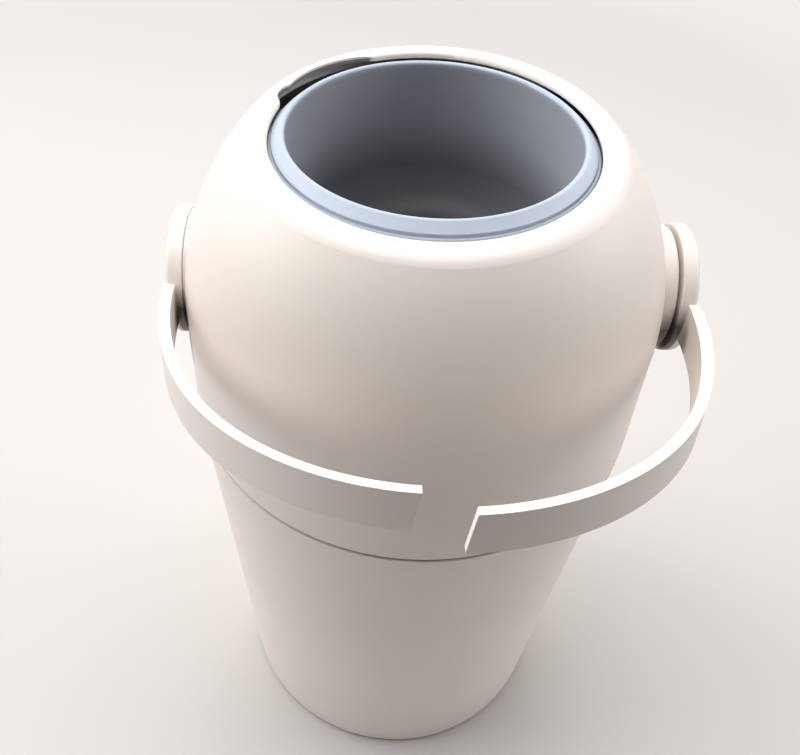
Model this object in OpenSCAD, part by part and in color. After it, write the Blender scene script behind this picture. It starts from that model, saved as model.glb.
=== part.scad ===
// Turn-over nappy bin: a tapered tub, a bag ring, and a domed lid that carries a
// turning ball with a cup in it. The bail handle is keyed to the ball, and its
// strap is broken in two at the front. Millimetres, +Z up, front towards -Y,
// origin at the middle of the face that the bin stands on.

/* [Tub] */
// Outer radius of the tub at its foot
tub_foot_r = 124; // [118:0.5:130]
// Outer radius of the tub at its rim
tub_rim_r = 138; // [134:0.5:146]
// Height of the tub's rim above the floor
tub_rim_h = 320.5; // [280:0.5:380]
// Thickness of the tub's wall
tub_wall = 2.8; // [2:0.1:4]
// Thickness of the tub's floor
tub_floor = 3; // [2:0.1:5]
// Radius of the foot edge of the tub
foot_edge_r = 2.5; // [1:0.1:5]
// Width of the small notch in the foot edge at the front
foot_notch_w = 4; // [2:0.5:8]
// Height of the small notch in the foot edge
foot_notch_h = 3; // [1:0.5:5]

/* [Foot pad] */
// Thickness of the non-slip pad under the tub
pad_t = 2.5; // [1.5:0.1:5]
// How far the pad's edge stays inside the tub's foot
pad_inset = 2.2; // [1.5:0.1:6]

/* [Bag ring] */
// Height of the open seam between the tub and the lid
seam_h = 3; // [2:0.1:6]
// Gap above and below the bag ring's flange, where it is held in the seam
seat_gap = 0.2; // [0.1:0.05:0.5]
// How far the flange's edge stays inside the outer surfaces
flange_inset = 1.3; // [0.8:0.1:2]
// Depth of the bag ring's skirt inside the tub
ring_skirt_h = 22; // [14:1:40]
// Thickness of the bag ring's skirt
ring_wall = 2.2; // [1.6:0.1:3]
// Side clearance between nested rings
nest_gap = 0.5; // [0.3:0.05:1]
// Number of bag notches in the bag ring's skirt
bag_notches = 6; // [4:1:12]
// Width of one bag notch
bag_notch_w = 14; // [8:1:24]
// Depth of one bag notch
bag_notch_h = 8; // [4:1:12]

/* [Lid dome] */
// Height of the dome's widest line above the lid's lower edge
skirt_h = 71.5; // [60:0.5:90]
// How far the skirt draws in from the lid's lower edge to the dome's widest line
skirt_draft = 2.8; // [1:0.1:5]
// Radius of the dome's side curve
dome_curve_r = 148; // [142:0.5:156]
// Height of the flat rim above the dome's widest line
dome_rise = 102.7; // [100:0.1:106]
// Width of the flat rim round the opening
rim_flat_w = 5.5; // [4:0.1:9]
// Thickness of the dome's wall
dome_wall = 2.6; // [2:0.1:4]
// Thickness of the flat rim round the opening
rim_t = 3; // [2:0.1:3.4]
// Radius of the soft edge between the dome and its flat rim
rim_edge_r = 12; // [6:0.5:14]
// Radius of the opening's rounded upper edge
opening_edge_r = 2.2; // [0.5:0.1:2.6]
// Direction of the finger notch in the rim, counted from +X
notch_az = 138; // [90:1:180]
// How deep the finger notch cuts into the rim
notch_depth = 5.6; // [3:0.1:8]
// Radius of the finger notch's long curve
notch_r = 54; // [40:1:70]
// Radius of the finger notch's short round end
notch_end_r = 12; // [6:0.5:16]

/* [Pivot] */
// Height of the pivot above the dome's widest line
pivot_up = 9.5; // [4:0.5:16]
// How far the flat of each pivot pad lies inside the dome's widest line
left_pad_sink = 4.8; // [0.5:0.1:6]
// How far the taller right pad, which houses the drum's stops, stands out past it
right_pad_rise = 1.2; // [0:0.1:3]
// Wall of the right pad, which is hollow
pad_wall = 3; // [2:0.1:4]
// Radius of the right pad's rounded edge
pad_edge_r = 1.6; // [0.5:0.1:2.5]
// How far the proud part of each pivot pad stays inside the edge of the handle's disc
pad_margin = 1.5; // [0:0.5:8]
// Thickness of the dome at each pivot pad
pivot_pad_t = 3.9; // [3:0.1:6]
// Radius of the spindle's round journal
journal_r = 10; // [8:0.1:12]
// Running clearance round the journal
journal_gap = 0.06; // [0.02:0.01:0.1]
// Wall of the bearing bush
bush_wall = 3; // [2:0.1:4]
// Width of the bush's flange
bush_flange_w = 5; // [3:0.5:8]
// Thickness of the bush's flange
bush_flange_t = 2; // [1:0.1:3]
// Play between the washer on the ball and the bush's flange
thrust_gap = 0.2; // [0.1:0.05:0.5]

/* [Ball and cup] */
// Gap between the edge of the lid's opening and the path of the cup's lip
lip_path_gap = 1.8; // [1:0.1:4]
// Gap between the cup's lip and the opening, seen from above
lip_side_gap = 1.2; // [0.8:0.1:4]
// How far the ball stays inside the path of the lip's corner
ball_inset = 0.3; // [0.1:0.1:3]
// Thickness of the ball's wall
ball_wall = 2.6; // [2:0.1:4]
// Height of the seam between the ball's two shells above the pivot
ball_seam_up = 22; // [20:0.5:40]
// Depth of the tongue where the ball's shells lap
ball_lap = 5; // [3:0.5:10]
// Height of the lip above the ball's flat shoulder
lip_stand = 6; // [4:0.1:9]
// Thickness of the shoulder
shoulder_t = 2.6; // [2:0.1:4]
// Wall of the cup
cup_wall = 2.2; // [1.6:0.1:3]
// How far the lip lies over the edge of the shoulder
lip_ledge = 4.9; // [3:0.1:6]
// Taper of the cup's inside from its mouth to its floor
cup_taper = 3.7; // [0:0.1:10]
// Depth of the cup from the top of its lip
cup_depth = 86; // [70:0.5:110]
// Radius between the cup's wall and its floor
cup_bend_r = 26; // [10:0.5:34]
// Radius of the lip's rounded inner edge
lip_edge_r = 1.6; // [0.8:0.1:2]
// Radius of the lip's rounded outer edge
lip_side_r = 0.8; // [0.4:0.1:1.2]
// Turn of the ball past its front stop, in degrees
ball_turn = 2.3; // [0:0.1:10]

/* [Spindles] */
// How far each hub stands out of the ball
hub_stand = 2.5; // [1.5:0.1:3]
// Radius of each hub of the ball
hub_r = 17; // [15:0.5:19]
// Length of each hub
hub_len = 26; // [22:0.5:32]
// Width across the spindle's squares
square_w = 11; // [9:0.1:12]
// Clearance round the squares
square_gap = 0.15; // [0.05:0.01:0.3]
// Length of the spindle's inner square
inner_square_len = 14; // [10:0.5:16]
// Thread radius of the screws that hold the handle on
screw_r = 2.5; // [2:0.1:2.8]
// How far the screw's thread goes into the hub past the square
screw_grip = 8; // [6:0.5:9]

/* [Handle] */
// Radius of each handle disc
disc_r = 36.5; // [30:0.5:39]
// Thickness of each handle disc
disc_t = 9; // [7:0.1:12]
// Radius of the disc's outer edge
disc_edge_r = 2.8; // [1:0.1:3.2]
// Gap between the left disc and its pivot pad
left_gap = 0.35; // [0.3:0.05:3]
// Gap between the right disc and its pivot pad, where the broken half has slid out
right_gap = 2; // [0.5:0.1:5]
// Distance from the pivot to the front of the strap before it broke
strap_reach = 195; // [180:0.5:220]
// How far the left half has sprung back at the front
left_spring = 3.5; // [0:0.5:10]
// How far the right half has sprung forward at the front
right_spring = 8; // [0:0.5:12]
// How far the left half bows out past its disc at the side
left_splay = 1.4; // [0:0.1:4]
// How far the right half bows out past its disc at the side
right_splay = 1.6; // [0:0.1:5]
// How far in front of the pivot the strap is widest
strap_wide_at = 22; // [16:0.5:30]
// How much smaller the radius of the strap's front curve is than its half width
strap_round = 9.2; // [5:0.1:20]
// Thickness of the strap at its roots
strap_root_t = 6.4; // [4:0.1:7]
// Thickness of the strap at the front
strap_front_t = 4.6; // [3:0.1:6]
// Width of the strap at its roots
strap_root_w = 24; // [20:0.5:36]
// Width of the strap at the front
strap_front_w = 20.5; // [14:0.5:24]
// Rise of the strap above the level, with the cup upright, in degrees
strap_rise = 10.9; // [0:0.1:14]
// How far the strap starts below the middle of the disc
strap_drop = 3.5; // [0:0.1:6]
// Distance from the middle to the break face of the left half
left_break_x = 6.7; // [3:0.1:20]
// Distance from the middle to the break face of the right half
right_break_x = 14.4; // [3:0.1:30]
// Slant of the break faces, in degrees
break_slant = 9; // [0:0.5:20]
// Radius of the cap in each disc
cap_r = 14; // [11:0.5:18]
// Thickness of the cap
cap_t = 1.2; // [1:0.1:2]

/* [Wiper seal] */
// Height of the wiper seal's lower face above the pivot
seal_up = 78.5; // [70:0.5:82]
// Height of the wiper seal
seal_h = 3.4; // [2:0.1:5]
// Gap between the wiper seal and the path of the lip
seal_gap = 0.4; // [0.3:0.1:1]
// Width of the dome's rib that the seal is bonded under
seal_rib_w = 5; // [3:0.5:8]
// Thickness of that rib
seal_rib_t = 1.8; // [1.2:0.1:3]

/* [Apron] */
// Height of the apron's top face above the lid's lower edge
apron_up = 12; // [9:0.5:16]
// Thickness of the apron's plate
apron_t = 2.6; // [2:0.1:4]
// Gap between the apron's edge and the ball
apron_gap = 1; // [0.5:0.1:4]
// Height of the upturned edge round the apron's hole
apron_edge_h = 5; // [3:0.5:8]
// Length of the apron's spigot below the tub's rim
spigot_h = 12; // [8:0.5:20]
// Thickness of the apron's spigot
spigot_wall = 2.2; // [1.6:0.1:3]
// Number of apron screws
apron_screws_n = 4; // [4:4:8]
// Distance from the spigot's inside to the middle of each apron screw
apron_screw_in = 3.8; // [3.4:0.1:5]
// Radius of each screw post in the lid
post_r = 4.5; // [4:0.1:5.5]
// Height of each screw post
post_h = 28; // [16:1:40]
// Thread radius of the apron screws
small_screw_r = 1.7; // [1.3:0.1:2]
// Length of the apron screws' thread
small_screw_len = 12; // [8:0.5:14]

/* [Hidden] */

$fn = 96;
eps = 0.01;
far = 400;

// Levels above the floor
tub_bottom_z = pad_t;
tub_slope = (tub_rim_r - tub_foot_r) / (tub_rim_h - tub_bottom_z);
lid_z = tub_rim_h + seam_h;
waist_z = lid_z + skirt_h;
rim_z = waist_z + dome_rise;
pivot_z = waist_z + pivot_up;
apron_z = lid_z + apron_up;
dome_waist_r = tub_rim_r - skirt_draft;
skirt_slope = skirt_draft / skirt_h;

// Radii that nest inside each other, from the tub inwards
ring_skirt_r = tub_rim_r - tub_wall - tub_slope * ring_skirt_h - nest_gap;
spigot_r = ring_skirt_r - ring_wall - nest_gap;
apron_r = tub_rim_r - skirt_slope * apron_up - dome_wall - nest_gap;
apron_screw_at = spigot_r - spigot_wall - apron_screw_in;

// The dome's side curve is one arc about this point
dome_arc_x = dome_waist_r - dome_curve_r;
rim_edge_x = dome_arc_x + sqrt(pow(dome_curve_r - rim_edge_r, 2) - pow(dome_rise - rim_edge_r, 2));
opening_r = rim_edge_x - rim_flat_w;

// The ball, from the path that the lip's corner may take through the opening
rim_up = rim_z - rim_t - pivot_z;
lip_path_r = sqrt(pow(opening_r, 2) + pow(rim_up, 2)) - lip_path_gap;
lip_r = opening_r - lip_side_gap;
ball_r = lip_path_r - ball_inset;
cup_mouth_r = lip_r - lip_ledge - cup_wall;
// Middles of the lip's rounded edges, both touching the path
lip_edge_h = sqrt(pow(lip_path_r - lip_edge_r, 2) - pow(cup_mouth_r + lip_edge_r, 2));
lip_side_h = sqrt(pow(lip_path_r - lip_side_r, 2) - pow(lip_r - lip_side_r, 2));
lip_h = lip_edge_h + lip_edge_r;
shoulder_h = lip_h - lip_stand;
cup_floor_r = cup_mouth_r - cup_taper;
shoulder_hole_r = cup_mouth_r + cup_wall + 0.3;
seal_r = sqrt(pow(lip_path_r + seal_gap, 2) - pow(seal_up, 2));
seal_out_r = dome_arc_x - 0.3
    + sqrt(pow(dome_curve_r - dome_wall, 2) - pow(seal_up + seal_h + pivot_up, 2));
apron_hole_r = apron_gap
    + sqrt(pow(lip_path_r, 2) - pow(pivot_z - apron_z - apron_edge_h, 2));

// Across the pivot, from the ball outwards
bush_r = journal_r + journal_gap + bush_wall;
bush_flange_r = bush_r + bush_flange_w;
left_pad_x = dome_waist_r - left_pad_sink;
right_pad_x = dome_waist_r + right_pad_rise;
pad_inner_x = left_pad_x - pivot_pad_t;
hub_face_x = ball_r + hub_stand;
washer_t = pad_inner_x - bush_flange_t - hub_face_x - thrust_gap;
// The screw's head needs this much room under the cap, and the disc keeps a web behind it
head_room = 1.8;
disc_web = 0.9;
socket_depth = disc_t - cap_t - head_room - disc_web;
slip = right_gap - left_gap;

// Colours as the real pieces have them
ivory = [0.93, 0.89, 0.85];
blue_grey = [0.66, 0.70, 0.78];
cup_grey = [0.44, 0.47, 0.53];
rubber_grey = [0.22, 0.23, 0.25];
white_plastic = [0.90, 0.90, 0.88];
steel_grey = [0.70, 0.71, 0.72];

// ---------- helpers ----------

// A tube about Z from radius r_in to r_out
module tube(r_out, r_in, h) {
    difference() {
        cylinder(r = r_out, h = h);
        translate([0, 0, -eps]) cylinder(r = r_in, h = h + 2 * eps);
    }
}

// A cylinder along X that starts at x
module along_x(x, r, h) {
    translate([x, 0, 0]) rotate([0, 90, 0]) cylinder(r = r, h = h);
}

// A square bar along X that starts at x
module square_along_x(x, w, h) {
    translate([x, -w / 2, -w / 2]) cube([h, w, w]);
}

// Draws its children at the pivot, turned with the ball
module on_ball() {
    translate([0, 0, pivot_z]) rotate([-ball_turn, 0, 0]) children();
}

// Draws its children at the pivot, without the ball's turn
module at_pivot() {
    translate([0, 0, pivot_z]) children();
}

// Draws its children on the right (side = 1) or mirrored to the left (side = -1)
module to_side(side) {
    mirror([side < 0 ? 1 : 0, 0, 0]) children();
}

// ---------- tub ----------

module foot_pad() {
    color(rubber_grey)
        cylinder(r = tub_foot_r - pad_inset, h = pad_t);
}

// Outer outline of the tub, with its rounded foot edge
module tub_outline() {
    translate([tub_foot_r - foot_edge_r, tub_bottom_z + foot_edge_r]) circle(r = foot_edge_r);
    polygon([
        [0, tub_bottom_z],
        [tub_foot_r - foot_edge_r, tub_bottom_z],
        [tub_foot_r + tub_slope * foot_edge_r, tub_bottom_z + foot_edge_r],
        [tub_rim_r, tub_rim_h],
        [0, tub_rim_h]
    ]);
}

module tub() {
    floor_z = tub_bottom_z + tub_floor;
    color(ivory)
    difference() {
        rotate_extrude() intersection() {
            tub_outline();
            translate([0, -1]) square([far, tub_rim_h + 2]);
        }
        rotate_extrude() polygon([
            [0, floor_z],
            [tub_foot_r - tub_wall + tub_slope * tub_floor, floor_z],
            [tub_rim_r - tub_wall + tub_slope, tub_rim_h + 1],
            [0, tub_rim_h + 1]
        ]);
        translate([-foot_notch_w / 2, -tub_foot_r - 2, tub_bottom_z - eps])
            cube([foot_notch_w, 2 + tub_wall * 0.6, foot_notch_h]);
    }
}

// ---------- bag ring ----------

// Lies on the tub's rim, fills the seam, and clamps the bag with its skirt
module bag_ring() {
    flange_z = tub_rim_h + seat_gap;
    color(blue_grey)
    difference() {
        union() {
            translate([0, 0, flange_z])
                tube(tub_rim_r - flange_inset, ring_skirt_r - ring_wall, seam_h - 2 * seat_gap);
            translate([0, 0, tub_rim_h - ring_skirt_h])
                tube(ring_skirt_r, ring_skirt_r - ring_wall, ring_skirt_h + seam_h / 2);
        }
        for (i = [0 : bag_notches - 1])
            rotate([0, 0, (i + 0.5) * 360 / bag_notches])
                translate([ring_skirt_r - ring_wall - 2, -bag_notch_w / 2, tub_rim_h - ring_skirt_h - 1])
                    cube([ring_wall + 4, bag_notch_w, bag_notch_h + 1]);
    }
}

// ---------- lid dome ----------

// Half outline of the dome, taken in by w at the sides and by t at the top
module dome_outline(w, t) {
    top = rim_z - t;
    edge = max(rim_edge_r - w, 0.2);
    arc = dome_curve_r - w;
    edge_x = dome_arc_x + sqrt(pow(arc - edge, 2) - pow(top - edge - waist_z, 2));
    intersection() {
        union() {
            intersection() {
                translate([dome_arc_x, waist_z]) circle(r = arc, $fn = 180);
                polygon([
                    [dome_arc_x, waist_z],
                    [far, waist_z],
                    [dome_arc_x, waist_z] + 3 * [edge_x - dome_arc_x, top - edge - waist_z]
                ]);
            }
            translate([0, waist_z]) square([edge_x, top - waist_z]);
            translate([edge_x, top - edge]) circle(r = edge);
            polygon([
                [0, lid_z - (w > 0 ? 1 : 0)],
                [tub_rim_r - w + (w > 0 ? skirt_slope : 0), lid_z - (w > 0 ? 1 : 0)],
                [dome_waist_r - w, waist_z],
                [0, waist_z]
            ]);
        }
        translate([0, lid_z - 1]) square([far, far]);
    }
}

// The round opening in the top, with its rounded upper edge
module opening_cut() {
    edge = opening_edge_r;
    rotate_extrude($fn = 180) {
        translate([0, waist_z]) square([opening_r, far]);
        difference() {
            translate([opening_r - 1, rim_z - edge]) square([edge + 1, edge + 1]);
            translate([opening_r + edge, rim_z - edge]) circle(r = edge);
        }
    }
}

// The finger notch: one long curve that ends in a short round end
module finger_notch() {
    translate([0, 0, rim_z - rim_t - 4])
    rotate([0, 0, notch_az]) {
        translate([opening_r + notch_depth - notch_r, 0, 0]) cylinder(r = notch_r, h = far);
        rotate([0, 0, 17])
            translate([opening_r + notch_depth - notch_end_r, 0, 0]) cylinder(r = notch_end_r, h = far);
    }
}

// One screw post inside the lid's skirt, with a web to the wall
module screw_post() {
    translate([0, 0, apron_z + seat_gap]) difference() {
        union() {
            translate([apron_screw_at, 0, 0]) cylinder(r = post_r, h = post_h, $fn = 48);
            translate([apron_screw_at, -1.2, 0]) cube([far, 2.4, post_h]);
        }
        translate([apron_screw_at, 0, -eps]) cylinder(r = small_screw_r, h = small_screw_len, $fn = 48);
    }
}

// The rib that the wiper seal is bonded under
module seal_rib() {
    rib_z = pivot_z + seal_up + seal_h;
    intersection() {
        translate([0, 0, rib_z]) tube(far, seal_out_r - seal_rib_w, seal_rib_t);
        rotate_extrude($fn = 180) dome_outline(dome_wall / 2, rim_t / 2);
    }
}

// Outer face of a pivot pad, along X
function pad_face(side) = side < 0 ? left_pad_x : right_pad_x;

// The left pad: a flat inside the disc's edge, and a plate behind the recess
module left_pad() {
    along_x(pad_inner_x, disc_r - pad_margin, pivot_pad_t);
    intersection() {
        along_x(pad_inner_x, disc_r + 3, pivot_pad_t);
        translate([0, 0, -pivot_z]) rotate_extrude($fn = 180) dome_outline(dome_wall / 2, rim_t);
    }
}

// The right pad: a round box that stands out of the dome, open towards the ball
module right_pad() {
    r = disc_r - pad_margin;
    top = right_pad_x - pad_inner_x;
    translate([pad_inner_x, 0, 0]) rotate([0, 90, 0]) rotate_extrude() {
        square([r - pad_edge_r, top]);
        square([r, top - pad_edge_r]);
        translate([r - pad_edge_r, top - pad_edge_r]) circle(r = pad_edge_r);
    }
}

// The ring-shaped hollow inside the right pad
module right_pad_hollow() {
    difference() {
        along_x(pad_inner_x - 6, disc_r - pad_margin - pad_wall, right_pad_x - pad_wall - pad_inner_x + 6);
        along_x(pad_inner_x - 7, bush_flange_r + 1, far);
    }
}

module dome() {
    color(ivory)
    difference() {
        union() {
            difference() {
                rotate_extrude($fn = 180) dome_outline(0, 0);
                rotate_extrude($fn = 180) dome_outline(dome_wall, rim_t);
            }
            at_pivot() to_side(-1) left_pad();
            at_pivot() to_side(1) right_pad();
            for (i = [0 : apron_screws_n - 1])
                rotate([0, 0, 45 + i * 360 / apron_screws_n]) intersection() {
                    screw_post();
                    rotate_extrude($fn = 180) dome_outline(dome_wall / 2, rim_t);
                }
            seal_rib();
        }
        opening_cut();
        finger_notch();
        for (side = [-1, 1])
            at_pivot() to_side(side) {
                along_x(pad_inner_x - 2, bush_r, far);
                along_x(pad_face(side), disc_r + 1, far);
            }
        at_pivot() to_side(1) right_pad_hollow();
    }
}

// ---------- seal, apron and their screws ----------

// Rubber ring inside the dome, just outside the path of the cup's lip
module wiper_seal() {
    color(rubber_grey)
        translate([0, 0, pivot_z + seal_up]) tube(seal_out_r, seal_r, seal_h);
}

// Plate under the ball, with a spigot that centres the lid in the bag ring
module apron() {
    under_z = apron_z - apron_t;
    color(blue_grey)
    difference() {
        union() {
            translate([0, 0, under_z]) cylinder(r = apron_r, h = apron_t);
            translate([0, 0, under_z]) cylinder(r = apron_hole_r + 2.4, h = apron_t + apron_edge_h);
            translate([0, 0, tub_rim_h - spigot_h]) cylinder(r = spigot_r, h = under_z - tub_rim_h + spigot_h + 1);
        }
        translate([0, 0, tub_rim_h - spigot_h - 1])
            cylinder(r = spigot_r - spigot_wall, h = under_z - tub_rim_h + spigot_h + 1);
        translate([0, 0, under_z - 1]) cylinder(r = apron_hole_r, h = far);
        for (i = [0 : apron_screws_n - 1])
            rotate([0, 0, 45 + i * 360 / apron_screws_n])
                translate([apron_screw_at, 0, 0])
                    cylinder(r = small_screw_r + 0.3, h = far, $fn = 48);
    }
}

// A pan-head screw along +Z: the head's seat is at z = 0, the thread goes up
module pan_screw(r, len, head_r, head_h) {
    translate([0, 0, -eps]) cylinder(r = r - 0.05, h = len, $fn = 48);
    difference() {
        translate([0, 0, -head_h]) cylinder(r = head_r, h = head_h, $fn = 48);
        for (a = [0, 90])
            rotate([0, 0, a]) translate([-head_r * 0.6, -0.5, -head_h - 1])
                cube([head_r * 1.2, 1, 1 + head_h * 0.6]);
    }
}

module apron_screws() {
    color(steel_grey)
    for (i = [0 : apron_screws_n - 1])
        rotate([0, 0, 45 + i * 360 / apron_screws_n])
            translate([apron_screw_at, 0, apron_z - apron_t])
                pan_screw(small_screw_r, small_screw_len, small_screw_r * 1.5, 2);
}

// ---------- bearings ----------

// A flanged bush in the pivot pad, with its flange inside
module bush(side) {
    color(white_plastic)
    at_pivot() to_side(side) difference() {
        union() {
            along_x(pad_inner_x, bush_r - 0.02, pad_face(side) - pad_inner_x);
            along_x(pad_inner_x - bush_flange_t, bush_flange_r, bush_flange_t);
        }
        along_x(pad_inner_x - 5, journal_r + journal_gap, far);
    }
}

// A washer on the ball's hub that takes up the side play against the bush
module washer(side) {
    color(white_plastic)
    on_ball() to_side(side) difference() {
        along_x(hub_face_x, hub_r, washer_t);
        along_x(hub_face_x - 1, journal_r + 0.15, washer_t + 2);
    }
}

module left_bush() { bush(-1); }
module right_bush() { bush(1); }
module left_washer() { washer(-1); }
module right_washer() { washer(1); }

// ---------- ball and cup ----------

// The hollow ball with its flat shoulder, before it is parted
module ball_shell() {
    difference() {
        intersection() {
            sphere(r = ball_r, $fn = 180);
            translate([-far / 2, -far / 2, -far]) cube([far, far, far + shoulder_h]);
        }
        intersection() {
            sphere(r = ball_r - ball_wall, $fn = 180);
            translate([-far / 2, -far / 2, -far]) cube([far, far, far + shoulder_h - shoulder_t]);
        }
        cylinder(r = shoulder_hole_r, h = far);
    }
}

// Lower shell, with a hub at each side for the spindles
module ball_lower() {
    color(blue_grey)
    on_ball() difference() {
        union() {
            difference() {
                ball_shell();
                translate([0, 0, ball_seam_up]) cylinder(r = far, h = far);
            }
            for (side = [-1, 1])
                to_side(side) along_x(hub_face_x - hub_len, hub_r, hub_len);
        }
        for (side = [-1, 1])
            to_side(side) {
                square_along_x(hub_face_x - inner_square_len - 1, square_w + 2 * square_gap, far);
                along_x(hub_face_x - hub_len - 1, screw_r, far);
            }
    }
}

// Upper shell, with a tongue that laps inside the lower shell
module ball_cover() {
    inner_r = ball_r - ball_wall;
    tongue_r = sqrt(pow(inner_r, 2) - pow(ball_seam_up, 2)) - 0.1;
    color(blue_grey)
    on_ball() {
        difference() {
            ball_shell();
            translate([0, 0, ball_seam_up - far]) cylinder(r = far, h = far);
        }
        translate([0, 0, ball_seam_up - ball_lap]) tube(tongue_r, tongue_r - 2, ball_lap + 6);
    }
}

// Half outline of the cup's inside or outside, grown by w
module cup_outline(w) {
    floor_z = lip_h - cup_depth - w;
    bend = cup_bend_r + w;
    r_floor = cup_floor_r + w;
    r_mouth = cup_mouth_r + w;
    intersection() {
        union() {
            polygon([
                [0, floor_z + bend],
                [r_floor, floor_z + bend],
                [r_mouth, lip_edge_h],
                [r_mouth, lip_h + 5],
                [0, lip_h + 5]
            ]);
            square_from_axis(r_floor - bend, floor_z, bend + 1);
            translate([r_floor - bend, floor_z + bend]) circle(r = bend);
        }
        translate([0, -far]) square([far, 2 * far]);
    }
}

// A rectangle from the axis out to r, standing on z
module square_from_axis(r, z, h) {
    translate([0, z]) square([r, h]);
}

// The cup's lip: its top carries on the ball's round, and it is hollow underneath
module lip_outline() {
    edge = [cup_mouth_r + lip_edge_r, lip_edge_h];
    side = [lip_r - lip_side_r, lip_side_h];
    difference() {
        union() {
            intersection() {
                circle(r = lip_path_r, $fn = 180);
                polygon([
                    [cup_mouth_r - 1, shoulder_h],
                    [lip_r, shoulder_h],
                    [lip_r, lip_side_h],
                    side,
                    side * 1.1,
                    edge * 1.1,
                    edge,
                    [cup_mouth_r, lip_edge_h]
                ]);
            }
            translate(edge) circle(r = lip_edge_r, $fn = 48);
            translate(side) circle(r = lip_side_r, $fn = 48);
        }
        translate([cup_mouth_r + cup_wall, shoulder_h - 1])
            square([lip_r - cup_mouth_r - 2 * cup_wall, lip_side_h - shoulder_h - 0.4]);
    }
}

module cup() {
    color(cup_grey)
    on_ball() {
        rotate_extrude($fn = 180) {
            difference() {
                union() {
                    intersection() {
                        cup_outline(cup_wall);
                        translate([0, -far]) square([far, far + shoulder_h + 0.5]);
                    }
                    lip_outline();
                }
                cup_outline(0);
            }
        }
        for (i = [0 : 3])
            rotate([0, 0, 45 + 90 * i]) snap_lug();
    }
}

// A small lug on the cup's wall that catches under the ball's shoulder
module snap_lug() {
    top = shoulder_h - shoulder_t - 0.1;
    translate([0, 5, 0]) rotate([90, 0, 0]) linear_extrude(height = 10) polygon([
        [cup_mouth_r + cup_wall / 2, top],
        [shoulder_hole_r + 1.4, top],
        [cup_mouth_r + cup_wall / 2, top - 8]
    ]);
}

// ---------- spindles ----------

// Keyed at both ends: one square in the ball's hub, one in the handle's disc
module spindle(side) {
    journal_len = pad_face(side) + left_gap - hub_face_x - 0.3;
    color(white_plastic)
    on_ball() to_side(side) translate([side < 0 ? 0 : slip, 0, 0]) difference() {
        union() {
            square_along_x(hub_face_x - inner_square_len, square_w, inner_square_len + 1);
            along_x(hub_face_x + 0.3, journal_r, journal_len);
            square_along_x(pad_face(side) + left_gap - 1, square_w, socket_depth + 1 - 0.1);
        }
        along_x(hub_face_x - far / 2, screw_r + 0.3, far);
    }
}

module left_spindle() { spindle(-1); }
module right_spindle() { spindle(1); }

// ---------- handle ----------

// How far each disc stands off its pivot pad
function side_gap(side) = side < 0 ? left_gap : right_gap;
// Inner face of a disc, along X
function disc_x(side) = pad_face(side) + side_gap(side);

// Half the width of the strap's outer curve, and how far forward it reaches
function strap_half_w(side) = disc_x(side) + disc_t + (side < 0 ? left_splay : right_splay);
function side_reach(side) = strap_reach + (side < 0 ? -left_spring : right_spring);

// The full bail seen from above: two side arcs that run into one front arc
module bail_outline(half_w, reach, front_r) {
    front_y = reach - front_r;
    drop = front_y - strap_wide_at;
    side_r = (pow(front_r, 2) - pow(half_w, 2) - pow(drop, 2)) / (2 * (front_r - half_w));
    side_x = half_w - side_r;
    join = strap_wide_at + side_r * drop / (side_r - front_r);
    intersection() {
        translate([side_x, -strap_wide_at]) circle(r = side_r, $fn = 180);
        translate([-side_x, -strap_wide_at]) circle(r = side_r, $fn = 180);
        translate([-far, -join]) square([2 * far, join + far]);
    }
    intersection() {
        translate([0, -front_y]) circle(r = front_r, $fn = 180);
        translate([-far, -far]) square([2 * far, far - join + eps]);
    }
}

// The strap's taper in width, seen from the side
module strap_taper() {
    rotate([90, 0, 90]) linear_extrude(height = 2 * far, center = true) polygon([
        [0, strap_root_w / 2],
        [-strap_reach - right_spring, strap_front_w / 2],
        [-strap_reach - right_spring, -strap_front_w / 2],
        [0, -strap_root_w / 2]
    ]);
}

// Half of the strap, in its own plane, from the disc to its break face
module strap_half(side) {
    half_w = strap_half_w(side);
    reach = side_reach(side);
    front_r = half_w - strap_round;
    break_x = side < 0 ? left_break_x : right_break_x;
    slant = side < 0 ? break_slant : -break_slant;
    intersection() {
        translate([0, 0, -strap_root_w]) linear_extrude(height = 2 * strap_root_w) difference() {
            bail_outline(half_w, reach, front_r);
            bail_outline(half_w - strap_root_t, reach - strap_front_t, front_r - strap_front_t - 1);
        }
        strap_taper();
        translate([break_x, 0, 0]) rotate([0, -slant, 0])
            translate([0, -far, -far / 2]) cube([far, far - 6, far]);
    }
}

// The plain disc with rounded edges
module handle_disc() {
    rotate([0, 90, 0]) rotate_extrude() {
        square([disc_r - disc_edge_r, disc_t]);
        translate([0, 1]) square([disc_r, disc_t - disc_edge_r - 1]);
        square([disc_r - 1, 2]);
        translate([disc_r - disc_edge_r, disc_t - disc_edge_r]) circle(r = disc_edge_r);
        translate([disc_r - 1, 1]) circle(r = 1, $fn = 32);
    }
}

// Disc and strap, with the socket for the spindle and the seats for screw and cap
module handle_half(side) {
    out_x = disc_x(side) + disc_t;
    color(ivory)
    on_ball() rotate([-strap_rise, 0, 0]) to_side(side) difference() {
        union() {
            translate([disc_x(side), 0, 0]) handle_disc();
            translate([0, 0, -strap_drop]) strap_half(side);
        }
        along_x(out_x, disc_r + 6, far / 4);
        along_x(disc_x(side) - far / 4, disc_r + 6, far / 4);
        along_x(disc_x(side) - 1, screw_r + 0.3, far / 4);
        along_x(out_x - cap_t - head_room, screw_r * 2, far / 4);
        along_x(out_x - cap_t, cap_r, far / 4);
        rotate([strap_rise, 0, 0])
            square_along_x(disc_x(side) - 1, square_w + 2 * square_gap, socket_depth + 1);
    }
}

module handle_left() { handle_half(-1); }
module handle_right() { handle_half(1); }

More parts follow.
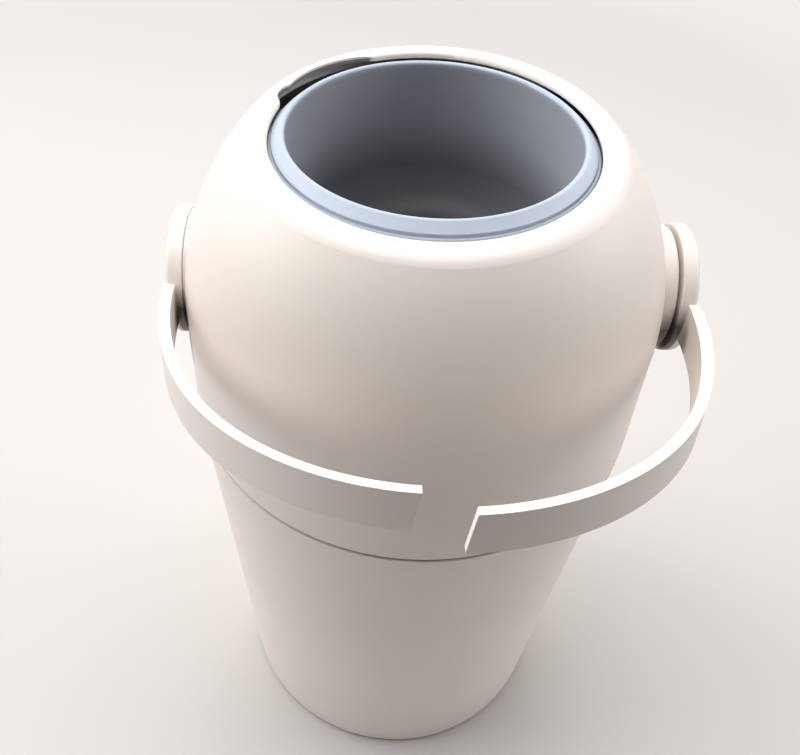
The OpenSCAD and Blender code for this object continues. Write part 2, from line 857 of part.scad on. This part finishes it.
// The long screw that holds disc and spindle to the ball's hub
module disc_screw(side) {
    seat_x = disc_x(side) + disc_t - cap_t - head_room;
    tip_x = hub_face_x - inner_square_len - screw_grip + (side < 0 ? 0 : slip);
    color(steel_grey)
    on_ball() to_side(side)
        translate([seat_x, 0, 0]) rotate([0, -90, 0])
            pan_screw(screw_r, seat_x - tip_x, screw_r * 1.8, head_room - 0.2);
}

module left_screw() { disc_screw(-1); }
module right_screw() { disc_screw(1); }

// The cap that covers the screw, flush with the disc's outer face
module disc_cap(side) {
    color(ivory)
    on_ball() to_side(side)
        along_x(disc_x(side) + disc_t - cap_t, cap_r - 0.15, cap_t);
}

module left_cap() { disc_cap(-1); }
module right_cap() { disc_cap(1); }

// ---------- the object ----------

foot_pad();
tub();
bag_ring();
dome();
wiper_seal();
apron();
apron_screws();
left_bush();
right_bush();
left_washer();
right_washer();
ball_lower();
ball_cover();
cup();
left_spindle();
right_spindle();
handle_left();
handle_right();
left_screw();
right_screw();
left_cap();
right_cap();
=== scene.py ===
# %% [markdown]
# # A turn-over nappy bin
# This lesson dresses a finished model of a nappy bin: a tapered tub, a ring that
# holds the bag, and a domed lid in which a ball with a cup in it turns over. The
# solids come from the CAD frame and are right already, so Blender's work is the
# finishes, a few small details, the stage, the light and the camera.

# %% Load the frame
import bpy
import bmesh
import math
from mathutils import Matrix, Vector, noise


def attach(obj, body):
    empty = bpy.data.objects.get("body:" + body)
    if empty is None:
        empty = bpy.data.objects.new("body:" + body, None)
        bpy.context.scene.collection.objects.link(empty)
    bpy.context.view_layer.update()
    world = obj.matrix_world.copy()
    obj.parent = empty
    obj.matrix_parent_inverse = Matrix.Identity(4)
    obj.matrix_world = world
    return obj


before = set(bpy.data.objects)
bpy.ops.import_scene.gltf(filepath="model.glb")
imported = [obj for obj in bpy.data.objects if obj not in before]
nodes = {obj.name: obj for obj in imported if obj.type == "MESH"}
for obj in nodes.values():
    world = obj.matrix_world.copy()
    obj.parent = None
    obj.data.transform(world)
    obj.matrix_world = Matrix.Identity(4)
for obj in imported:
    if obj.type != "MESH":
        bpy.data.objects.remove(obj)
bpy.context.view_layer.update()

# %% [markdown]
# ## Writing shaders as sums
# A finish is a small graph of nodes. Placing each Math node by hand hides the
# idea, so one class wraps a socket and lets Python's operators add the nodes.
# Then `0.4 + 0.1 * grain` reads like the formula that it is.

# %% A socket that can be calculated with
class Value:
    """One output socket of a shader graph. The operators add Math nodes."""

    def __init__(self, tree, socket):
        self.tree = tree
        self.socket = socket

    def math(self, operation, *others, clamp=False):
        made = self.tree.nodes.new("ShaderNodeMath")
        made.operation = operation
        made.use_clamp = clamp
        for i, item in enumerate((self,) + others):
            if isinstance(item, Value):
                self.tree.links.new(item.socket, made.inputs[i])
            else:
                made.inputs[i].default_value = item
        return Value(self.tree, made.outputs[0])

    def __add__(self, other):
        return self.math("ADD", other)

    def __sub__(self, other):
        return self.math("SUBTRACT", other)

    def __rsub__(self, other):
        return (self * -1.0).math("ADD", other)

    def __mul__(self, other):
        return self.math("MULTIPLY", other)

    def __truediv__(self, other):
        return self.math("DIVIDE", other)

    def __pow__(self, other):
        return self.math("POWER", other)

    def clamped(self):
        return self.math("ADD", 0.0, clamp=True)

    __radd__ = __add__
    __rmul__ = __mul__


# %% [markdown]
# Every other node comes from one method. It takes the node's type, then its
# settings, then the values or links of its sockets. Settings come first because
# some of them decide which sockets a node has.

# %% A graph, a finish, and the one method that adds any node
class Graph:
    """A tree of shader nodes, for a material or for the world."""

    def __init__(self, tree):
        self.tree = tree

    def node(self, kind, settings=None, inputs=None, output=0):
        made = self.tree.nodes.new("ShaderNode" + kind)
        for key, value in (settings or {}).items():
            if key == "stops":
                ramp = made.color_ramp
                while len(ramp.elements) < len(value):
                    ramp.elements.new(0.5)
                for element, (place, colour) in zip(ramp.elements, value):
                    element.position = place
                    element.color = colour
            else:
                setattr(made, key, value)
        for key, value in (inputs or {}).items():
            if isinstance(value, Value):
                self.tree.links.new(value.socket, made.inputs[key])
            else:
                made.inputs[key].default_value = value
        return Value(self.tree, made.outputs[output])

    def blend(self, factor, first, second):
        return self.node("Mix", {"data_type": "RGBA"},
                         {0: factor, 6: first, 7: second}, output=2)

    def seen_directly(self):
        """1 for rays from the camera, and for those a mirror or glass passes on."""
        path = [self.node("LightPath", output=name)
                for name in ("Is Camera Ray", "Is Glossy Ray", "Is Transmission Ray")]
        return (path[0] + path[1] + path[2]).clamped()


class Finish(Graph):
    """A material with a Principled shader, built up node by node."""

    def __init__(self, name, **constants):
        self.material = bpy.data.materials.new(name)
        self.material.use_nodes = True
        super().__init__(self.material.node_tree)
        self.shader = self.tree.nodes["Principled BSDF"]
        for socket, value in constants.items():
            self.shader.inputs[socket.replace("_", " ")].default_value = value

    def place(self):
        return self.node("TexCoord", output="Object")

    def noise(self, scale, detail=2.0, rough=0.5, at=None):
        return self.node("TexNoise", None,
                         {"Vector": at or self.place(), "Scale": scale,
                          "Detail": detail, "Roughness": rough})

    def part(self, axis):
        return self.node("SeparateXYZ", None, {0: self.place()}, output=axis)

    def set(self, socket, value):
        self.tree.links.new(value.socket, self.shader.inputs[socket])

    def bump(self, height, strength, distance):
        made = self.node("Bump", None,
                         {"Height": height, "Strength": strength, "Distance": distance})
        self.set("Normal", made)


def rgb(r, g, b):
    return (r, g, b, 1.0)


def band(value, low, high, rise, fall):
    """A mask that is 1 from low to high. Its ends fade over rise and fall."""
    return ((value - low) / rise).clamped() * ((high - value) / fall).clamped()


def linked(name, mesh, material):
    """Turns finished mesh data into an object in the scene."""
    data = bpy.data.meshes.new(name)
    mesh.to_mesh(data)
    mesh.free()
    made = bpy.data.objects.new(name, data)
    bpy.context.collection.objects.link(made)
    made.data.materials.append(material)
    return made


# %% [markdown]
# ## Painted shade
# Shade is painted into the colour in the pocket beside each disc, in front of the
# pivot, and on the wall of the finger notch. A mask from the distance to those
# places darkens them, and noise roughens its edge.

# %% Where the painted shade lies
POCKET = Vector((0.1335, -0.0365, 0.3930))
POCKET_REACH, POCKET_FADE = 0.0150, 0.009
POCKET_TALL = 0.45       # below 1, the stain is taller than it is wide
PAD_FACE = 0.1362        # the painted shade ends short of the handle's disc
RIGHT_STANDS_OFF = 0.0065
NOTCH_FROM_R, NOTCH_TO_R = 0.0836, 0.0900
NOTCH_FROM_Z, NOTCH_TO_Z = 0.4800, 0.4968
# The colour of the painted shade in the pockets and on the notch's wall.
PAINTED_SHADE_COLOUR = rgb(0.075, 0.052, 0.042)


def painted_shade(finish):
    """A painted-shade mask that is near 1 in the pockets and on the notch's wall."""
    x, y, z = finish.part("X"), finish.part("Y"), finish.part("Z")
    on_right = x.math("GREATER_THAN", 0.0)
    out = x.math("ABSOLUTE") - on_right * RIGHT_STANDS_OFF
    dx, dy, dz = out - POCKET.x, y - POCKET.y, z - POCKET.z
    far = (dx * dx + dy * dy + dz * dz * POCKET_TALL) ** 0.5
    edge = finish.noise(160.0, 3.0, 0.6) * 0.006
    pocket = ((POCKET_REACH - far + edge) / POCKET_FADE).clamped()
    pocket = pocket * ((PAD_FACE - out) / 0.0012).clamped()
    radius = (x * x + y * y) ** 0.5
    notch = band(radius, NOTCH_FROM_R, NOTCH_TO_R, 0.0005, 0.0004)
    notch = notch * band(z, NOTCH_FROM_Z, NOTCH_TO_Z, 0.001, 0.0006)
    return (pocket * 0.92 + notch * 0.85).clamped()


# This prints the centre of the painted shade in the pockets; it lies on the notch's wall too.
print("dirt in the pockets at", tuple(POCKET), "and on the notch's wall")

# %% [markdown]
# ## Ivory plastic
# The tub, the lid and the handle are moulded in a warm ivory plastic with a
# satin skin. Up close such a skin isn't smooth: the mould is spark-eroded, which
# leaves a fine even grain. It breaks the reflections up, so the sheen is broad
# and soft. A bump of very small height at about a third of a millimetre gives
# that, and a slow drift in colour and gloss stops it looking like paper.

# %% Ivory satin plastic
IVORY, IVORY_DEEP = rgb(0.885, 0.822, 0.772), rgb(0.855, 0.788, 0.735)
SCUFFED = rgb(0.60, 0.56, 0.52)
SCUFF_STRETCH = (26.0, 26.0, 420.0)  # scuffs run round the bin, not up it
FOOT_H = 0.05


def ivory(name, foot_wear):
    """Moulded satin plastic. foot_wear is how strongly the foot is scuffed."""
    finish = Finish(name, Specular_IOR_Level=0.42, Coat_Weight=0.06, Coat_Roughness=0.32)
    drift = finish.noise(9.0, 3.0, 0.55)
    grain = finish.noise(2600.0, 1.0, 0.4)
    pores = finish.noise(900.0, 2.0, 0.5)
    stretched = finish.node("Mapping", None, {"Vector": finish.place(), "Scale": SCUFF_STRETCH})
    scuff = finish.noise(1.0, 4.0, 0.62, at=stretched)
    stops = [(0.66, rgb(0, 0, 0)), (0.74, rgb(1, 1, 1))]
    lines = finish.node("ValToRGB", {"stops": stops}, {0: scuff})
    near_foot = (1.0 - (finish.part("Z") / FOOT_H)).clamped()
    wear = (lines * (0.05 + near_foot * foot_wear)).clamped()
    tone = finish.blend((drift * 1.6 - 0.35).clamped(), IVORY, IVORY_DEEP)
    scuffed = finish.blend(wear, tone, SCUFFED)
    # The base colour takes in the painted shade of the pockets and the notch's wall.
    finish.set("Base Color", finish.blend(painted_shade(finish), scuffed, PAINTED_SHADE_COLOUR))
    finish.set("Roughness", 0.36 + drift * 0.10 + grain * 0.05 + wear * 0.2)
    finish.bump(grain * 0.6 + pores * 0.4, 0.16, 0.00012)
    return finish.material


ivory_body = ivory("ivory satin plastic", foot_wear=0.6)
ivory_handle = ivory("ivory handle plastic", foot_wear=0.0)
print("made:", ivory_body.name, "and", ivory_handle.name)

# %% [markdown]
# ## Blue-grey plastic
# The ball and the apron are moulded in a pale blue-grey. The bag ring is a deeper
# blue-grey, made darker still by painted shade, so that the seam between lid and
# tub reads dark. It is the same satin plastic twice, so one function makes both.

# %% Blue-grey plastic
def blue_grey(name, base, deep):
    finish = Finish(name, Specular_IOR_Level=0.4)
    drift = finish.noise(14.0, 3.0, 0.5)
    grain = finish.noise(2200.0, 1.0, 0.4)
    finish.set("Base Color", finish.blend((drift * 1.5 - 0.3).clamped(), base, deep))
    finish.set("Roughness", 0.40 + drift * 0.12 + grain * 0.04)
    finish.bump(grain, 0.14, 0.0001)
    return finish.material


# The ring's colour is its own deeper blue-grey plus painted shade for the dark seam.
shaded_ring_plastic = blue_grey("blue-grey ring plastic",
                         rgb(0.20, 0.235, 0.30), rgb(0.17, 0.20, 0.26))
ball_plastic = blue_grey("blue-grey ball plastic",
                         rgb(0.42, 0.47, 0.56), rgb(0.36, 0.41, 0.50))
print("made:", shaded_ring_plastic.name, "and", ball_plastic.name)

# %% [markdown]
# ## The cup
# The cup's lip is a pale blue-grey that catches the light. The inside is the same
# plastic with painted shade in its colour: a darker grey on the wall, going to near
# black at the bottom. One finish does both. The ball stands a little past upright,
# so the height above its pivot is measured along the cup's own leaning axis, and a
# mask from that height blends the two colours softly.

# %% Cup plastic, pale at the lip, with painted shade inside
PIVOT = Vector((0.0, 0.0, 0.4045))
PAST_UPRIGHT = 2.3  # degrees
TURN = math.radians(PAST_UPRIGHT)
LIP_ABOVE = 0.0932
LIP_H = 0.0035
CUP_DEPTH = 0.086
CUP_OUTER_R = 0.0752
SHADE_H = 0.055     # how far up from the bottom the painted shade reaches
LIP_COLOUR = rgb(0.510, 0.580, 0.695)
# The wall and bottom colours are painted shade: the lip's plastic, darkened inside the cup.
SHADED_WALL_COLOUR, SHADED_WALL_DEEP = rgb(0.40, 0.42, 0.47), rgb(0.34, 0.36, 0.405)
SHADED_BOTTOM_COLOUR = rgb(0.036, 0.036, 0.042)


def cup_finish():
    finish = Finish("cup plastic", Specular_IOR_Level=0.38)
    drift = finish.noise(11.0, 4.0, 0.55)
    grain = finish.noise(1900.0, 1.0, 0.4)
    across, along = finish.part("X"), finish.part("Y")
    up = finish.part("Z") - PIVOT.z
    height = up * math.cos(TURN) + along * math.sin(TURN)
    centre = along * math.cos(TURN) - up * math.sin(TURN)
    lip = ((height - (LIP_ABOVE - LIP_H)) / 0.0022).clamped()
    radius = (across * across + centre * centre) ** 0.5
    outside = ((radius - CUP_OUTER_R) / 0.0006).clamped()
    pale = (lip + outside).clamped()
    wall = finish.blend((drift * 1.6 - 0.3).clamped(), SHADED_WALL_COLOUR, SHADED_WALL_DEEP)
    # Painted shade: the inside darkens to near black towards the cup's bottom.
    deep = (1.0 - (height - (LIP_ABOVE - CUP_DEPTH)) / SHADE_H).clamped()
    inside = finish.blend(deep, wall, SHADED_BOTTOM_COLOUR)
    finish.set("Base Color", finish.blend(pale, inside, LIP_COLOUR))
    finish.set("Roughness", 0.42 + drift * 0.12 + grain * 0.05)
    finish.bump(grain, 0.2, 0.00012)
    return finish.material


cup_plastic = cup_finish()
print("made:", cup_plastic.name)

# %% [markdown]
# ## Rubber, white plastic and steel
# These are mostly out of sight, but they show when the lid is lifted. The foot
# pad and the wiper seal are soft dark rubber, dull and slightly dusty. The
# bearings are undyed plastic. The screws are zinc-plated: bright, with a faint
# cloudy blotching from the plating bath.

# %% The small finishes
def rubber():
    finish = Finish("dark rubber", Specular_IOR_Level=0.3)
    dust = finish.noise(60.0, 4.0, 0.6)
    grain = finish.noise(1500.0, 1.0, 0.5)
    dusty = (dust * 1.4 - 0.4).clamped()
    tone = finish.blend(dusty, rgb(0.030, 0.031, 0.034), rgb(0.085, 0.082, 0.080))
    finish.set("Base Color", tone)
    finish.set("Roughness", 0.68 + dust * 0.18)
    finish.bump(grain, 0.35, 0.0002)
    return finish.material


def white_plastic():
    finish = Finish("undyed bearing plastic", Specular_IOR_Level=0.45)
    drift = finish.noise(40.0, 2.0, 0.5)
    finish.set("Base Color", finish.blend(drift, rgb(0.76, 0.76, 0.73), rgb(0.70, 0.70, 0.66)))
    finish.set("Roughness", 0.34 + drift * 0.12)
    finish.bump(finish.noise(1200.0), 0.12, 0.0001)
    return finish.material


def zinc():
    finish = Finish("zinc-plated steel", Metallic=1.0)
    cloud = finish.noise(240.0, 3.0, 0.6)
    finish.set("Base Color", finish.blend(cloud, rgb(0.58, 0.59, 0.61), rgb(0.70, 0.71, 0.72)))
    finish.set("Roughness", 0.26 + cloud * 0.2)
    finish.bump(finish.noise(1800.0), 0.1, 0.00008)
    return finish.material


rubber_soft, bearing, plated = rubber(), white_plastic(), zinc()
print("made:", rubber_soft.name + ",", bearing.name, "and", plated.name)

# %% [markdown]
# ## Dressing the solids
# A CAD node keeps its shape, and only its material slots are filled. One table
# says which finish each node gets, so it is easy to see that none is left out.

# %% Give every CAD node its finish
finishes = {
    "foot_pad": rubber_soft, "wiper_seal": rubber_soft,
    "tub": ivory_body, "dome": ivory_body,
    "handle_left": ivory_handle, "handle_right": ivory_handle,
    "left_cap": ivory_handle, "right_cap": ivory_handle,
    "bag_ring": shaded_ring_plastic, "apron": ball_plastic,
    "ball_lower": ball_plastic, "ball_cover": ball_plastic, "cup": cup_plastic,
    "left_bush": bearing, "right_bush": bearing,
    "left_washer": bearing, "right_washer": bearing,
    "left_spindle": bearing, "right_spindle": bearing,
    "apron_screws": plated, "left_screw": plated, "right_screw": plated,
}
for name, material in finishes.items():
    for place in nodes[name].material_slots:
        place.material = material
print("finished nodes:", len(finishes), "of", len(nodes))

# %% [markdown]
# ## The broken ends of the strap
# The handle's strap has snapped in two at the front. A clean saw cut would be
# flat, but plastic tears: the face is slightly hummocky, and paler than the skin
# because the stretched plastic goes white. Each end gets a thin torn face, a grid
# pushed in and out by smooth noise, that lies on the flat end of the solid.

# %% Torn faces at the break
STRAP_TILT = math.radians(10.9 + PAST_UPRIGHT)
STRAP_DROP = 0.0035
STRAP_T = 0.0046
STRAP_HALF_H = 0.0103
BREAK_SLANT = math.radians(9.0)
FRONT_R_LESS = 0.0092   # the front bend's radius, below half the handle's width
INNER_R_LESS = 0.0056   # and its inner face's radius, below that
EDGE_SHARE = 0.03       # the torn face stops this share short of each edge
TEAR_REST, TEAR_DEPTH = 0.00004, 0.00030
TEAR_SCALE = 520.0
TEAR_T = 0.00025


def torn_plastic():
    finish = Finish("torn plastic", Specular_IOR_Level=0.3)
    patches = finish.noise(420.0, 4.0, 0.6)
    finish.set("Base Color", finish.blend(patches, rgb(0.93, 0.90, 0.86), rgb(0.86, 0.81, 0.76)))
    finish.set("Roughness", 0.55 + patches * 0.25)
    finish.bump(finish.noise(1300.0, 3.0), 0.5, 0.0003)
    return finish.material


def torn_grid(mesh, side, break_x, half_w, reach, rows=22, columns=8):
    """Rows of points over the broken end, pushed in and out by noise."""
    outer_r = half_w - FRONT_R_LESS
    inner_r = outer_r - INNER_R_LESS
    outer_mid, inner_mid = reach - outer_r, (reach - STRAP_T) - inner_r
    grid = []
    for i in range(rows + 1):
        z = -STRAP_HALF_H + 2 * STRAP_HALF_H * i / rows
        x = break_x + side * math.tan(BREAK_SLANT) * z
        outer = outer_mid + math.sqrt(outer_r ** 2 - x ** 2)
        inner = inner_mid + math.sqrt(inner_r ** 2 - x ** 2)
        line = []
        for j in range(columns + 1):
            v = inner + (outer - inner) * (EDGE_SHARE + (1 - 2 * EDGE_SHARE) * j / columns)
            rim = min(i, rows - i, 3) / 3 * min(j, columns - j, 2) / 2
            hummock = 0.6 + noise.noise(Vector((v, z, side)) * TEAR_SCALE)
            push = TEAR_REST + TEAR_DEPTH * rim * hummock
            line.append(mesh.verts.new((side * (x - push), -v, z - STRAP_DROP)))
        grid.append(line)
    return grid


def torn_face(name, side, break_x, half_w, reach):
    """side is -1 for the left half and 1 for the right one."""
    mesh = bmesh.new()
    grid = torn_grid(mesh, side, break_x, half_w, reach)
    for row, next_row in zip(grid, grid[1:]):
        for j in range(len(row) - 1):
            corners = (row[j], next_row[j], next_row[j + 1], row[j + 1])
            mesh.faces.new(corners if side < 0 else corners[::-1]).smooth = True
    turn = Matrix.Translation(PIVOT) @ Matrix.Rotation(-STRAP_TILT, 4, "X")
    bmesh.ops.transform(mesh, matrix=turn, verts=mesh.verts)
    piece = linked(name, mesh, torn)
    thick = piece.modifiers.new("thickness", "SOLIDIFY")
    thick.thickness = TEAR_T
    thick.offset = -1.0
    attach(piece, "drum")
    return piece


torn = torn_plastic()
pieces = [
    torn_face("torn_face_left", -1, break_x=0.0067, half_w=0.14115, reach=0.1915),
    torn_face("torn_face_right", 1, break_x=0.0144, half_w=0.1490, reach=0.2030),
]
print("added:", [p.name for p in pieces])

# %% [markdown]
# ## Stage
# The bin stands on a plain pale floor. Near the bin the floor is an ordinary
# surface, so it keeps the soft shadow and sends light back up. Further out it
# fades to the same pale tone as the room, so no edge or horizon shows from any side.

# %% Floor
PALE = rgb(0.880, 0.845, 0.825)
FLOOR_R = 2.6
FADE_Y = 0.45  # the fade's centre lies behind the bin
FADE_FROM_R, FADE_WIDTH = 0.72, 0.38


def floor_finish():
    finish = Finish("pale floor", Specular_IOR_Level=0.25)
    drift = finish.noise(1.3, 2.0, 0.5)
    tone = finish.blend(drift, rgb(0.69, 0.668, 0.655), rgb(0.65, 0.628, 0.615))
    finish.set("Base Color", tone)
    finish.set("Roughness", 0.55 + drift * 0.1)
    x, y = finish.part("X"), finish.part("Y") - FADE_Y
    away = (((x * x + y * y) ** 0.5 - FADE_FROM_R) / FADE_WIDTH).clamped()
    fade = away * away * (3.0 - away * 2.0) * finish.seen_directly()
    glow = finish.node("Emission", None, {"Color": PALE, "Strength": 1.0})
    surface = Value(finish.tree, finish.shader.outputs[0])
    mixed = finish.node("MixShader", None, {0: fade, 1: surface, 2: glow})
    finish.tree.links.new(mixed.socket, finish.tree.nodes["Material Output"].inputs[0])
    return finish.material


def round_floor(name, radius, rings=12, spokes=96):
    mesh = bmesh.new()
    centre = mesh.verts.new((0.0, 0.0, 0.0))
    angles = [2 * math.pi * k / spokes for k in range(spokes)]
    before = None
    for i in range(1, rings + 1):
        r = radius * i / rings
        ring = [mesh.verts.new((r * math.cos(a), r * math.sin(a), 0.0)) for a in angles]
        for k in range(spokes):
            after = (k + 1) % spokes
            if before is None:
                mesh.faces.new((centre, ring[k], ring[after]))
            else:
                mesh.faces.new((before[k], ring[k], ring[after], before[after]))
        before = ring
    linked(name, mesh, floor_finish())


round_floor("floor", FLOOR_R)
print("floor radius:", FLOOR_R, "m")

# %% [markdown]
# A bright stage lights a pale object from all round, and then its front looks
# flat. A studio answers with a dark card that takes light away. It hangs in
# front of the bin, where the camera can't see it, and lets the curve of the lid
# fall off into shade at the front. It casts no shadow and is clear of the floor,
# so that no dark line shows there from behind.

# %% Dark card
CARD_Y = -0.74
CARD_HALF_W = 1.0
CARD_FROM_Z, CARD_TO_Z = 0.12, 1.9


def card_finish():
    finish = Finish("dark card", Specular_IOR_Level=0.1)
    felt = finish.noise(30.0, 3.0)
    tone = finish.blend(felt, rgb(0.035, 0.033, 0.032), rgb(0.05, 0.047, 0.045))
    finish.set("Base Color", tone)
    finish.set("Roughness", 0.85 + felt * 0.1)
    return finish.material


def card(name):
    mesh = bmesh.new()
    corners = [(-CARD_HALF_W, CARD_Y, CARD_FROM_Z), (CARD_HALF_W, CARD_Y, CARD_FROM_Z),
               (CARD_HALF_W, CARD_Y, CARD_TO_Z), (-CARD_HALF_W, CARD_Y, CARD_TO_Z)]
    mesh.faces.new([mesh.verts.new(corner) for corner in corners])
    made = linked(name, mesh, card_finish())
    made.visible_camera = False
    made.visible_shadow = False


card("dark_card")
print("card:", 2 * CARD_HALF_W, "m wide,", round(CARD_TO_Z - CARD_FROM_Z, 2), "m high")

# %% [markdown]
# ## Light
# Soft daylight fills the room from the left and above. Large area lamps give
# broad highlights with soft edges, which suit a satin skin. The world is a weak
# warm grey that lifts the shadows. The camera, and rays from a shiny surface,
# see the pale tone of the far floor there instead, so the two meet unseen.

# %% Lamps and world
AIM = Vector((0, 0, 0.3))
LAMPS = {  # place, size, watts, colour
    "ceiling": ((-0.3, 0.5, 2.4), (2.2, 1.8), 50.0, (1.0, 0.995, 0.985)),
    "window": ((-2.2, 0.2, 1.5), (1.8, 1.6), 27.5, (1.0, 0.99, 0.985)),
    "side": ((2.3, 0.3, 1.3), (1.6, 1.4), 19.0, (1.0, 0.985, 0.97)),
}
FILL, FILL_STRENGTH = rgb(1.0, 0.97, 0.945), 0.42


def lamp(name, place, size, power, colour):
    data = bpy.data.lights.new(name, "AREA")
    data.shape = "RECTANGLE"
    data.size, data.size_y = size
    data.energy = power
    data.color = colour
    made = bpy.data.objects.new(name, data)
    made.location = place
    made.rotation_mode = "QUATERNION"
    made.rotation_quaternion = (AIM - Vector(place)).to_track_quat("-Z", "Y")
    bpy.context.collection.objects.link(made)


for name, (place, size, power, colour) in LAMPS.items():
    lamp(name, place, size, power, colour)

world = bpy.data.worlds.new("pale room")
bpy.context.scene.world = world
world.use_nodes = True
room = Graph(world.node_tree)
fill = room.node("Background", None, {"Color": FILL, "Strength": FILL_STRENGTH})
backdrop = room.node("Background", None, {"Color": PALE, "Strength": 1.0})
shown = room.node("MixShader", None, {0: room.seen_directly(), 1: fill, 2: backdrop})
room.tree.links.new(shown.socket, room.tree.nodes["World Output"].inputs[0])
print("lamps:", {name: row[2] for name, row in LAMPS.items()})

# %% [markdown]
# ## Camera
# The bin is seen from in front and well above, close to, so its tub shrinks
# towards the foot. A short lens near the lid gives that strong perspective. The
# small shift keeps the view centred where it should be without turning the camera.

# %% Camera
IMAGE_W, IMAGE_H = 800.0, 755.0
FOCAL_PX = 838.5
CENTRE_PX = (373.74, 383.37)
SENSOR_MM = 36.0
CAMERA_AT = (-0.02578, -0.36931, 0.72428)
YAW, PITCH, ROLL = math.radians(0.07), math.radians(48.24), math.radians(2.30)

camera_data = bpy.data.cameras.new("camera")
camera = bpy.data.objects.new("camera", camera_data)
bpy.context.collection.objects.link(camera)
bpy.context.scene.camera = camera
ahead = Vector((math.sin(YAW) * math.cos(PITCH), math.cos(YAW) * math.cos(PITCH),
                -math.sin(PITCH)))
level = Vector((math.cos(YAW), -math.sin(YAW), 0.0))
above = level.cross(ahead)
right = math.cos(ROLL) * level + math.sin(ROLL) * above
upward = -math.sin(ROLL) * level + math.cos(ROLL) * above
turned = Matrix((right, upward, -ahead)).transposed().to_4x4()
camera.matrix_world = Matrix.Translation(CAMERA_AT) @ turned
camera_data.sensor_width = SENSOR_MM
camera_data.lens = FOCAL_PX / IMAGE_W * SENSOR_MM
camera_data.shift_x = (IMAGE_W / 2 - CENTRE_PX[0]) / IMAGE_W
camera_data.shift_y = (CENTRE_PX[1] - IMAGE_H / 2) / IMAGE_W
camera_data.clip_start = 0.01
bpy.context.scene.view_settings.view_transform = "Standard"
print("lens:", round(camera_data.lens, 2), "mm")
